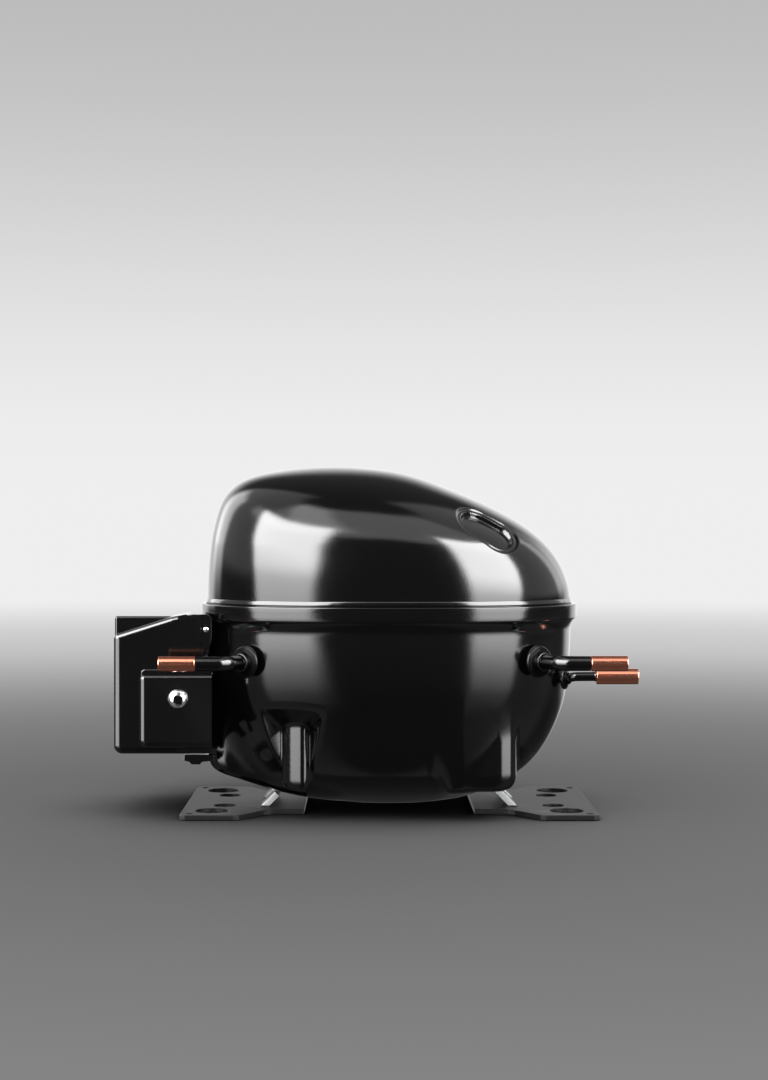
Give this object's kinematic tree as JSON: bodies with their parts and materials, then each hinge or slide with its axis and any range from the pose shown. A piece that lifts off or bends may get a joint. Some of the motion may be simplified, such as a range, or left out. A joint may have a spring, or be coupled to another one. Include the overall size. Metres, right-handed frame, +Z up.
{
  "type": "hermetic reciprocating compressor",
  "caption": "Sealed refrigeration compressor: domed two-piece welded steel shell on foot plates, side electrical box, copper-ended tubes, spring-hung motor and piston pump inside.",
  "frame": {"origin": "centre of the bounding box at the level of the foot plates' soles", "axes": "+X along the foot plates toward the suction and discharge tubes, -Y toward the tube side seen from the front, +Z up along the crankshaft"},
  "size_m": [0.2526, 0.1494, 0.1685],
  "materials": {
    "shell_paint": "gloss black enamel, slight orange peel",
    "foot_paint": "satin black enamel",
    "copper_bare": "bare copper tube, drawn finish",
    "cover_plastic": "black moulded plastic, fine satin",
    "bright_screw": "bright plated steel",
    "steel_plain": "plain oiled steel",
    "cast_grey": "grey cast iron",
    "lamination": "stacked electrical steel",
    "winding_copper": "enamelled copper wire",
    "alloy_cast": "die cast alloy",
    "muffler_plastic": "natural moulded polymer",
    "gasket_fibre": "pressed fibre gasket",
    "bearing_bronze": "sintered bronze"
  },
  "bodies": {
    "shell": {"top_cover": "shell_paint", "lower_shell": "shell_paint", "seam_weld_bead": "shell_paint", "foot_plate_left": "foot_paint", "foot_plate_right": "foot_paint", "process_tube": "shell_paint", "suction_tube": "shell_paint", "discharge_tube": "shell_paint", "process_tube_copper_end": "copper_bare", "suction_tube_copper_end": "copper_bare", "discharge_tube_copper_end": "copper_bare", "process_tube_collar": "shell_paint", "suction_tube_collar": "shell_paint", "discharge_tube_collar": "shell_paint", "terminal_body": "steel_plain", "terminal_pin_1": "steel_plain", "terminal_pin_2": "steel_plain", "terminal_pin_3": "steel_plain", "terminal_bracket": "foot_paint", "internal_connector": "muffler_plastic", "inverter_housing": "cover_plastic", "electrical_cover": "cover_plastic", "start_device_cover": "cover_plastic", "cover_screw": "bright_screw", "cover_clip": "steel_plain", "ground_screw": "bright_screw", "spring_seat_1": "muffler_plastic", "spring_seat_2": "muffler_plastic", "spring_seat_3": "muffler_plastic", "spring_seat_4": "muffler_plastic"},
    "pump": {"cylinder_block": "cast_grey", "cylinder_head": "alloy_cast", "valve_plate": "steel_plain", "head_gasket": "gasket_fibre", "suction_reed": "bright_screw", "discharge_reed": "bright_screw", "head_screw_1": "steel_plain", "head_screw_2": "steel_plain", "head_screw_3": "steel_plain", "head_screw_4": "steel_plain", "suction_muffler": "muffler_plastic", "discharge_muffler": "steel_plain", "discharge_loop_tube": "copper_bare", "stator_core": "lamination", "stator_winding_upper": "winding_copper", "stator_winding_lower": "winding_copper", "thrust_washer": "bearing_bronze", "suspension_spring_1": "steel_plain", "suspension_spring_2": "steel_plain", "suspension_spring_3": "steel_plain", "suspension_spring_4": "steel_plain"},
    "crank": {"crankshaft": "steel_plain", "rotor": "lamination", "counterweight": "cast_grey", "oil_pickup": "steel_plain"},
    "slider": {"slide_block": "bearing_bronze"},
    "gallery_plug": {"oil_gallery_plug": "bearing_bronze"},
    "piston_group": {"piston": "alloy_cast", "slide_yoke": "steel_plain"}
  },
  "joints": [
    {"name": "suspension", "type": "slide", "parent": "shell", "child": "pump", "axis": [0, 0, 1], "range_m": [-0.003, 0.003], "stiffness_N_per_m": 12000, "springref_m": 0.00331, "deforming": ["suspension_spring_1", "suspension_spring_2", "suspension_spring_3", "suspension_spring_4", "discharge_loop_tube"]},
    {"name": "crank_spin", "type": "hinge", "parent": "pump", "child": "crank", "pos_m": [0.0117, 0, 0.1], "axis": [0, 0, 1], "continuous": true},
    {"name": "slide_block_turn", "type": "hinge", "parent": "crank", "child": "slider", "pos_m": [0.0117, 0.008, 0.131], "axis": [0, 0, 1], "continuous": true},
    {"name": "gallery_plug_turn", "type": "hinge", "parent": "crank", "child": "gallery_plug", "pos_m": [0.0117, 0.004, 0.133], "axis": [0, 0, 1], "continuous": true},
    {"name": "piston_follow", "type": "hinge", "parent": "gallery_plug", "child": "piston_group", "pos_m": [0.0117, 0, 0.131], "axis": [0, 0, 1], "continuous": true}
  ],
  "couplings": [
    {"joint": "slide_block_turn", "follows": "crank_spin", "ratio": -1},
    {"joint": "gallery_plug_turn", "follows": "crank_spin", "ratio": -2},
    {"joint": "piston_follow", "follows": "crank_spin", "ratio": 1}
  ]
}
